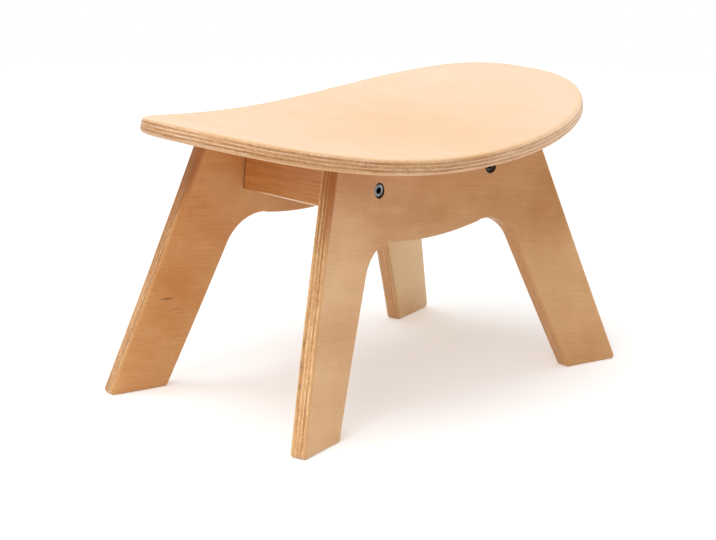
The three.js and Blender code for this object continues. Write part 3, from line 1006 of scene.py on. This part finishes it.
def metal_group():
    """Fine turning marks round a fitting, small scratches, and the dull cast of its plating."""
    tree, given, leaving = open_tree(
        "turned metal",
        "ShaderNodeTree",
        [("Place", "Vector")]
        + colours({"Bright": "8d9093", "Dull": "5d6063"})
        + floats({"Smooth": 0.28, "Worn": 0.5}),
        [("Color", "Color"), ("Roughness", "Float"), ("Height", "Float")],
    )
    cloud = noise(given["Place"], scale=420.0, detail=4.0, roughness=0.6)
    scratch = noise(scaled(given["Place"], 300.0, 4000.0, 4000.0), scale=1.0, detail=2.0)
    cast = remap(cloud, 0.35, 0.7)
    give(tree, leaving, {
        "Color": blend(cast * given["Worn"], given["Bright"], given["Dull"]),
        "Roughness": given["Smooth"] + cast * given["Worn"] * 0.2 + (scratch - 0.5) * 0.1,
        "Height": scratch * 0.5 + cloud * 0.5,
    })
    return tree


PLY_NODES = ply_group()
GRAIN_NODES = grain_group()
METAL_NODES = metal_group()


def cleared_tree(owner):
    owner.use_nodes = True
    owner.node_tree.nodes.clear()
    return owner.node_tree


def open_material(name):
    material = bpy.data.materials.new(name)
    tree = cleared_tree(material)
    shader = place(tree, "ShaderNodeBsdfPrincipled")
    place(tree, "ShaderNodeOutputMaterial", {0: Wire(tree, shader.outputs[0])})
    return material, tree, shader


def use(tree, group, inputs):
    return outputs_of(tree, place(tree, "ShaderNodeGroup", inputs, node_tree=group))


def raise_surface(tree, shader, height, strength, distance):
    inputs = {"Strength": strength, "Distance": distance, "Height": height}
    give(tree, shader, {"Normal": wired(tree, "ShaderNodeBump", inputs)})


def kept_value(tree, name, out="Vector"):
    """A value that the mesh keeps at its points."""
    return wired(tree, "ShaderNodeAttribute", None, out, attribute_name=name, attribute_type="GEOMETRY")


def lacquer(shader, weight, roughness):
    shader.inputs["Coat Weight"].default_value = weight
    shader.inputs["Coat Roughness"].default_value = roughness


def bloom(shader, weight, roughness):
    """The pale cast that fine fibres under lacquer give at a low angle."""
    shader.inputs["Sheen Weight"].default_value = weight
    shader.inputs["Sheen Roughness"].default_value = roughness


def grain_of(pale, deep, fleck, figure, fibre, flecks):
    return {
        "Pale": tone(pale),
        "Deep": tone(deep),
        "Fleck": tone(fleck),
        "Figure": figure,
        "Fibre": fibre,
        "Flecks": flecks,
    }


def from_bolt_axis(tree):
    """How far a place is from the axis of the nearest side bolt."""
    _, y, z = parts_of(wired(tree, "ShaderNodeTexCoord", out="Object"))
    along = y.does("absolute") - RAIL_REACH
    rise = z - BOLT_HEIGHT
    return (along * along + rise * rise).does("sqrt")


def near_spot(at, centre, reach, soft_from):
    """1 at a place in the sheet and 0 beyond its reach each way; it falls off from a share of the reach."""
    share = vector_math(at.tree, "divide", vector_math(at.tree, "subtract", at, centre), reach)
    return remap(vector_math(at.tree, "length", share, out="Value"), 1.0, soft_from)


# Plywood. A sheet's X and Y are a panel's length and height, or a seat's width and length

def fade(way, start, end, amount):
    """A deeper tone, by an amount, from one place to another along a way of the sheet, in millimetres."""
    return lambda at: remap(parts_of(at)[way], start * MM, end * MM) * amount


def patch(x, y, wide, high, amount):
    """A deeper tone, by an amount, at a place in the sheet and out to its reach each way, in millimetres."""
    centre, reach = (x * MM, y * MM, 0.0), (wide * MM, high * MM, 1.0)
    return lambda at: near_spot(at, centre, reach, 0.2) * amount


def leaf_of(grain, patchy, even, *fades):
    """An outer leaf: its grain, how patchy it is, its even tone, and where that deepens or pales."""
    return {"grain": grain, "patchy": patchy, "even": even, "fades": fades}


def toned(at, ply_tone, sheet):
    total = ply_tone * sheet["patchy"] + sheet["even"]
    for rule in sheet["fades"]:
        total = total + rule(at)
    return total


def plywood(name, thickness, leaves, slants, inner_plies, glue, edge, smooth, finish_off=None):
    """Pressed plywood: each outer leaf has its own colour, and the sawn edge shows the plies in turn."""
    material, tree, shader = open_material(name)
    at = kept_value(tree, "ply_place")
    plies = use(tree, PLY_NODES, {
        "Place": at,
        "Thickness": thickness,
        "Waviness": edge["wavy"],
        "Near leaf slant": slants[0],
        "Far leaf slant": slants[1],
    })

    def wood(grain, wood_tone):
        return use(tree, GRAIN_NODES, {"Place": plies["Grain place"], "Tone": wood_tone, **grain})

    near_leaf, far_leaf = [wood(leaf["grain"], toned(at, plies["Tone"], leaf)) for leaf in leaves]
    edge_tone = toned(at, plies["Tone"], edge)
    long_ply, end_ply = [wood(grain, edge_tone) for grain in inner_plies]
    colour = blend(plies["Crossways"], end_ply["Color"], long_ply["Color"])
    colour = blend(plies["Near leaf"], colour, near_leaf["Color"])
    colour = blend(plies["Far leaf"], colour, far_leaf["Color"])
    colour = blend(plies["Glue line"] * glue["strength"], colour, glue["colour"])
    # The rounded edges are painted a tone of their own: painted light and shade across the rounding
    far_half = parts_of(at)[Z] > thickness / 2
    near_rounding_paint, far_rounding_paint = edge["eased"]
    rounding_paint_share = plies["Eased edge"] * (near_rounding_paint + far_half * (far_rounding_paint - near_rounding_paint))
    colour = blend(rounding_paint_share, colour, edge["colour"])
    if finish_off:
        colour = finish_off(at, plies, colour)
    glue_roughness = plies["Glue line"] * 0.1
    eased_polish = plies["Eased edge"] * 0.1
    give(tree, shader, {
        "Base Color": colour,
        "Roughness": near_leaf["Figure"] * 0.08 + smooth + glue_roughness - eased_polish,
    })
    raise_surface(tree, shader, near_leaf["Height"] - plies["Glue line"] * 0.6, 0.25, 0.12 * MM)
    return material, shader


# Dark marks in a panel, in millimetres: the place along, up and into the sheet, the reach each way,
# and the strength. A mineral streak lies on the inner face, and small voids in a leg's sawn edge.
INNER_FACE = PANEL_THICKNESS / MM
PANEL_MARKS = (
    ((139, 75.3, INNER_FACE), (7.5, 0.8, 2), 0.8),
    ((131, 65.5, INNER_FACE), (9, 0.6, 2), 0.3),
    ((126, 61.5, INNER_FACE), (7, 0.6, 2), 0.25),
    ((-157, 78.4, 10.8), (6, 3.5, 0.7), 0.7),
    ((-162.3, 63, 11.3), (6, 4.5, 0.7), 0.7),
    ((-167.3, 48.5, 10.8), (6, 3, 0.7), 0.6),
)


def in_metres(millimetres):
    return tuple(value * MM for value in millimetres)


def panel_marks_and_shade(at, plies, colour):
    """A panel's worked places, painted shade and marks: the arch's edges, painted shade on the front edges
    and on the counterbores' walls, and the marks.
    """
    along, climb, depth = parts_of(at)
    from_edge = FOOT_REACH - along.does("absolute") - climb * LEG_OUTER_LEAN
    # The arch's edges are sanded smoother than the outer ones, so their plies show less
    between_leaves = 1.0 - plies["Near leaf"] - plies["Far leaf"]
    arch_side = remap(from_edge, 22 * MM, 30 * MM) * between_leaves
    colour = blend(arch_side * 0.5, colour, tone("dea266"))
    # Painted shade: the upper outer edge of the front legs is deep brown, on the half of the edge that faces
    # right
    far_half = depth > PANEL_THICKNESS / 2
    nearest = depth.does("minimum", PANEL_THICKNESS - depth)
    front_leg = (along < 0.0) * (1.0 - far_half) + (along > 0.0) * far_half
    high_up = remap(climb, 140 * MM, 175 * MM)
    band = remap(from_edge + nearest * 0.6, 4.2 * MM, 1.2 * MM) * high_up
    colour = blend(band * front_leg * 0.75, colour, tone("a65a16"))
    # Painted shade on the counterbore's wall round each bolt
    bore_shade = remap(from_bolt_axis(at.tree), COUNTERBORE_RADIUS + 0.15 * MM, COUNTERBORE_RADIUS + 0.05 * MM)
    colour = blend(bore_shade * 0.85, colour, tone("3a2412"))
    ragged = noise(at, scale=320.0, detail=2.0, out="Color")
    shift = scaled(vector_math(at.tree, "subtract", ragged, (0.5, 0.5, 0.5)), *in_metres((2, 1.2, 0.4)))
    jagged = vector_math(at.tree, "add", at, shift)
    for centre, reach, strength in PANEL_MARKS:
        mark = near_spot(jagged, in_metres(centre), in_metres(reach), 0.4)
        colour = blend(mark * strength, colour, tone("4a2a12"))
    return colour


seat_wood, seat_shader = plywood(
    "seat_plywood",
    SEAT_THICKNESS,
    leaves=(
        leaf_of(grain_of("ecc7a0", "dfb085", "b07c4c", 0.4, 0.3, 0.1), 0.3, 0.0),
        leaf_of(
            grain_of("f2d1ba", "dfb485", "cf9e6e", 0.3, 0.2, 0.1), 0.2, 0.21,
            # The top leaf is paler toward its rear end and deeper in its middle: painted light and sheen
            fade(Y, 30, 140, -0.34),
            patch(30, 20, 130, 140, 0.2),
        ),
    ),
    slants=(0.0, 0.0),
    inner_plies=(
        grain_of("f4d4b6", "d4a270", "aa764a", 1.3, 1.2, 0.3),
        grain_of("e2b990", "b28054", "8c5f38", 1.2, 1.2, 0.5),
    ),
    glue={"strength": 0.65, "colour": tone("8e5020")},
    edge={
        "wavy": 0.32,
        # The rounding of the top's rim is painted a tone of its own: painted light and shade on the rounding
        "eased": (0.0, 0.7),
        "colour": tone("e8c294"),
        "patchy": 0.5,
        "even": 0.0,
        "fades": (
            # The rim is paler toward its rear end and deeper toward its front: painted light
            fade(Y, 0, 120, -0.65),
            fade(Y, 0, -70, 0.17),
            patch(75, -165, 50, 50, 0.14),
            patch(0, -195, 40, 30, -0.18),
        ),
    },
    smooth=0.42,
)
lacquer(seat_shader, 0.1, 0.3)
seat_shader.inputs["Specular IOR Level"].default_value = 0.1

panel_wood, panel_shader = plywood(
    "panel_plywood",
    PANEL_THICKNESS,
    leaves=(
        leaf_of(
            grain_of("e9bb86", "ba792a", "92602c", 0.24, 0.3, 0.25), 0.3, 0.18,
            # Painted light on the outer leaf: paler on the lower legs, and a painted sheen that makes it
            # paler toward the front leg
            fade(Y, 150, 100, -0.3),
            fade(X, -50, -130, -0.16),
            patch(-112, 122, 50, 26, -0.18),
            patch(-136, 78, 50, 30, 0.3),
            patch(158, 6, 40, 30, 0.25),
            patch(110, 130, 60, 45, 0.25),
            patch(-100, 190, 50, 28, 0.3),
            patch(-104, 149, 35, 18, -0.16),
            patch(95, 166, 50, 30, -0.12),
            patch(0, 143, 50, 35, 0.07),
        ),
        leaf_of(
            grain_of("f3cf98", "cc863e", "9a5e2a", 0.26, 0.35, 0.25), 0.3, 0.22,
            # A painted sheen: the inner leaf is much paler toward one leg
            fade(X, -50, -130, -0.85),
            patch(142, 80, 50, 45, 0.2),
            patch(-153, 6, 50, 30, 0.5),
            patch(110, 135, 60, 40, 0.15),
            patch(85, 165, 60, 35, -0.14),
            patch(45, 135, 45, 30, -0.1),
        ),
    ),
    slants=(math.radians(11), math.radians(-6)),
    inner_plies=(
        grain_of("f3cb98", "c4874a", "a06a36", 1.2, 1.2, 0.3),
        grain_of("e0aa70", "a4682f", "7a481e", 1.2, 1.2, 0.5),
    ),
    glue={"strength": 0.5, "colour": tone("703a14")},
    edge={
        "wavy": 0.6,
        # The rounding of the edges is painted a darker tan: a painted shadow line
        "eased": (0.4, 0.3),
        "colour": tone("c8935a"),
        "patchy": 0.7,
        "even": 0.0,
        # The sawn edges are deeper near the top, a painted shadow under the seat, and paler low down, painted
        # light
        "fades": (fade(Y, 140, 185, 0.6), fade(Y, 120, 85, -0.2), fade(X, 50, 130, 0.3)),
    },
    smooth=0.44,
    finish_off=panel_marks_and_shade,
)
lacquer(panel_shader, 0.1, 0.3)
bloom(panel_shader, 0.2, 0.5)


# Solid wood and metal

def solid_beech(name, grain, smooth):
    material, tree, shader = open_material(name)
    wood = use(tree, GRAIN_NODES, {"Place": kept_value(tree, "ply_place"), **grain})
    give(tree, shader, {"Base Color": wood["Color"], "Roughness": wood["Figure"] * 0.1 + smooth})
    raise_surface(tree, shader, wood["Height"], 0.3, 0.15 * MM)
    return material, tree, shader, wood["Color"]


def rail_finish():
    """Deep red-brown beech under lacquer, with a painted shadow in the joint at each end and a painted
    highlight on a lower corner.
    """
    material, tree, shader, colour = solid_beech(
        "rail_beech",
        grain_of("dc9a54", "be7434", "7c4620", 1.5, 1.2, 0.5),
        0.42,
    )
    across, climb, out = parts_of(kept_value(tree, "ply_place"))
    face = RAIL_THICKNESS / 2
    # A painted highlight: the lower corner toward one end is painted pale, where it catches the floor's light
    corner = remap(climb, 2.2 * MM, 1.2 * MM) * remap(across, 55 * MM, 20 * MM)
    corner = corner * remap(out, face - 2.4 * MM, face - 1.2 * MM)
    colour = blend(corner * 0.95, colour, tone("ffeec8"))
    # Painted shadow in the joint's gap at each end of the rail
    joint = remap(kept_value(tree, "from_joint", "Fac"), 1.9 * MM, 0.6 * MM)
    give(tree, shader, {"Base Color": blend(joint * 0.8, colour, tone("6a3010"))})
    lacquer(shader, 0.25, 0.25)
    return material


def fitting_metal(name, bright, dull, smooth, worn, rear_shade=0.0, socket_shade=0.0):
    """Turned metal: how much painted shade darkens the rear fittings, and how much darkens a bolt's socket.
    """
    material, tree, shader = open_material(name)
    at = wired(tree, "ShaderNodeTexCoord", out="Object")
    metal = use(tree, METAL_NODES, {
        "Place": at,
        "Bright": tone(bright),
        "Dull": tone(dull),
        "Smooth": smooth,
        "Worn": worn,
    })
    at_rear = remap(parts_of(at)[Y], 0.0, 20 * MM)
    # Painted shade: the rear fittings, under the seat's rim, are darkened
    colour = blend(at_rear * rear_shade, metal["Color"], tone("38342f"))
    # Painted shade in a bolt's socket
    in_socket = remap(from_bolt_axis(tree), BOLT_SOCKET_ACROSS * 0.56, BOLT_SOCKET_ACROSS * 0.5)
    colour = blend(in_socket * socket_shade, colour, tone("14120f"))
    give(tree, shader, {"Base Color": colour, "Roughness": metal["Roughness"], "Metallic": 1.0})
    raise_surface(tree, shader, metal["Height"], 0.2, 0.04 * MM)
    return material


rail_wood = rail_finish()
dowel_wood = solid_beech("dowel_beech", grain_of("e6c79d", "cfa672", "a87b4c", 0.8, 0.8, 0.5), 0.6)[0]
bolt_steel = fitting_metal("bolt_steel", "8a8e91", "4c5056", 0.34, 0.6, rear_shade=0.9, socket_shade=0.9)
zinc_steel = fitting_metal("zinc_plated_steel", "b9bcbf", "8d9093", 0.26, 0.5)


# The stool's pieces

def finish_with(piece, material):
    piece.data.materials.clear()
    piece.data.materials.append(material)


def belongs(piece, slot, *nodes):
    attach(piece, "root")
    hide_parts(*nodes)


seat = grow("seat_wood", seat_tree(), {"Finish": seat_wood})
belongs(seat, "seat", "seat")

right_panel = make_panel()
finish_with(right_panel, panel_wood)
left_panel = half_turned("left_side_panel_wood", right_panel)
belongs(right_panel, "panel", "right_side_panel")
belongs(left_panel, "panel", "left_side_panel")

rear_rail = make_rail()
finish_with(rear_rail, rail_wood)
front_rail = half_turned("front_rail_wood", rear_rail)
belongs(rear_rail, "rail", "rear_rail")
belongs(front_rail, "rail", "front_rail")

CORNERS = four_corners_tree()
UPRIGHT = Matrix.Identity(4)
ALONG_X = Matrix.Rotation(math.pi / 2, 4, "Y")
ALONG_Y = Matrix.Rotation(math.pi / 2, 4, "X")
ENDS = [(side, end) for side in ("left", "right") for end in ("front", "rear")]


def set_out(name, shape, lay, out, height, turned, material, slot, nodes):
    """A fitting's shape laid along its axis and set out four times, as one piece."""
    shape.data.transform(lay)
    shade(shape, 30)
    fittings = grow(name, CORNERS, {
        "Fitting": shape,
        "Across": 2 * out,
        "Along": 2 * RAIL_REACH,
        "Height": height,
        "Turned on the left": float(turned == "on the left"),
        "Turned at the front": float(turned == "at the front"),
        "Finish": material,
    })
    bpy.data.objects.remove(shape)
    mark_places(fittings, lambda point: point)
    belongs(fittings, slot, *nodes)


set_out(
    "side_bolts", make_bolt(), ALONG_X, HEAD_SEAT + GAP, BOLT_HEIGHT, "on the left",
    bolt_steel, "bolt", [f"{side}_{end}_bolt" for side, end in ENDS],
)
set_out(
    "barrel_nuts", make_nut(), ALONG_Y, NUT_AXIS, BOLT_HEIGHT, "at the front",
    zinc_steel, "zinc", [f"{side}_{end}_barrel_nut" for side, end in ENDS],
)
set_out(
    "dowels", make_dowel(), ALONG_X, DOWEL_INNER_END, DOWEL_HEIGHT, "on the left",
    dowel_wood, "dowel", [f"{side}_{end}_dowel" for side, end in ENDS],
)
set_out(
    "seat_screws", make_screw(), UPRIGHT, SCREW_PLACE, SCREW_HEAD_SEAT, "nowhere",
    zinc_steel, "zinc", [f"{end}_{side}_seat_screw" for side, end in ENDS],
)


# Stage, light and camera

def make_floor():
    """White paper whose warm glow only the camera and gloss see; it throws none of that on the stool."""
    mesh = bmesh.new()
    bmesh.ops.create_circle(mesh, cap_ends=True, segments=96, radius=FLOOR_RADIUS)
    floor = to_object("floor", mesh)
    material = bpy.data.materials.new("white_paper")
    tree = cleared_tree(material)
    paper = wired(tree, "ShaderNodeBsdfDiffuse", {"Color": tone("f4efe9")})
    seen_paper = wired(tree, "ShaderNodeBsdfDiffuse", {"Color": (0.71, 0.77, 0.825, 1.0)})
    glow = wired(tree, "ShaderNodeEmission", {"Color": (0.39, 0.34, 0.295, 1.0), "Strength": 1.0})
    both = wired(tree, "ShaderNodeAddShader", {0: seen_paper, 1: glow})
    seen = outputs_of(tree, place(tree, "ShaderNodeLightPath"))
    direct = seen["Is Camera Ray"].does("maximum", seen["Is Glossy Ray"])
    shown = wired(tree, "ShaderNodeMixShader", {0: direct, 1: paper, 2: both})
    place(tree, "ShaderNodeOutputMaterial", {0: shown})
    floor.data.materials.append(material)


def make_world():
    """A white room to the camera, and a dimmer one to the wood."""
    world = bpy.data.worlds.new("white_room")
    bpy.context.scene.world = world
    tree = cleared_tree(world)
    seen = outputs_of(tree, place(tree, "ShaderNodeLightPath"))
    # Gloss sees white paper hung behind the stool, and a dimmer room to its right
    sight = wired(tree, "ShaderNodeTexCoord", out="Generated")
    behind = vector_math(tree, "dot_product", sight, PAPER_WAY, out="Value")
    hung_paper = remap(behind, 0.15, 0.7, 0.5, 1.8) * remap(parts_of(sight)[Z], -0.05, 0.35, 0.65, 1.15)
    to_camera = seen["Is Camera Ray"] * (1.0 - ROOM_LIGHT)
    to_gloss = seen["Is Glossy Ray"] * (hung_paper - ROOM_LIGHT)
    strength = ROOM_LIGHT + to_camera + to_gloss
    room = wired(tree, "ShaderNodeBackground", {"Color": tone("ffffff"), "Strength": strength})
    place(tree, "ShaderNodeOutputWorld", {0: room})


def add_softbox(name, where, width, power):
    lamp = bpy.data.lights.new(name, "AREA")
    lamp.shape = "DISK"
    lamp.size = width
    lamp.energy = power
    item = into_scene(name, lamp)
    item.location = where
    item.rotation_euler = (Vector(where) - SOFTBOX_TARGET).to_track_quat("Z", "Y").to_euler()
    item.visible_camera = False


def make_camera():
    """Stands where the photograph was taken from, as the outlines of the stool give it."""
    azimuth = math.radians(CAMERA_AZIMUTH)
    elevation = math.radians(CAMERA_ELEVATION)
    roll = math.radians(CAMERA_ROLL)
    back = Vector((
        math.sin(azimuth) * math.cos(elevation),
        -math.cos(azimuth) * math.cos(elevation),
        math.sin(elevation),
    ))
    level_right = Vector((math.cos(azimuth), math.sin(azimuth), 0))
    level_up = back.cross(level_right)
    right = level_right * math.cos(roll) + level_up * math.sin(roll)
    up = level_up * math.cos(roll) - level_right * math.sin(roll)
    target = Vector((0, 0, CAMERA_TARGET_HEIGHT)) - level_right * CAMERA_TARGET_LEFT
    camera = bpy.data.cameras.new("camera")
    camera.sensor_width = 36
    camera.lens = CAMERA_LENS
    camera.clip_start = 0.05
    camera.clip_end = 50
    item = into_scene("camera", camera)
    turn = Matrix((right, up, back)).transposed().to_4x4()
    item.matrix_world = Matrix.Translation(target + back * CAMERA_DISTANCE) @ turn
    bpy.context.scene.camera = item


make_floor()
make_world()
add_softbox("overhead_softbox", (-0.75, -1.4, 5.8), width=5.0, power=225)
add_softbox("rear_softbox", (1.4, 4.3, 0.9), width=3.0, power=36)
add_softbox("front_softbox", (1.7, -4.0, 3.9), width=3.0, power=80)
make_camera()
bpy.context.scene.view_settings.view_transform = "Standard"
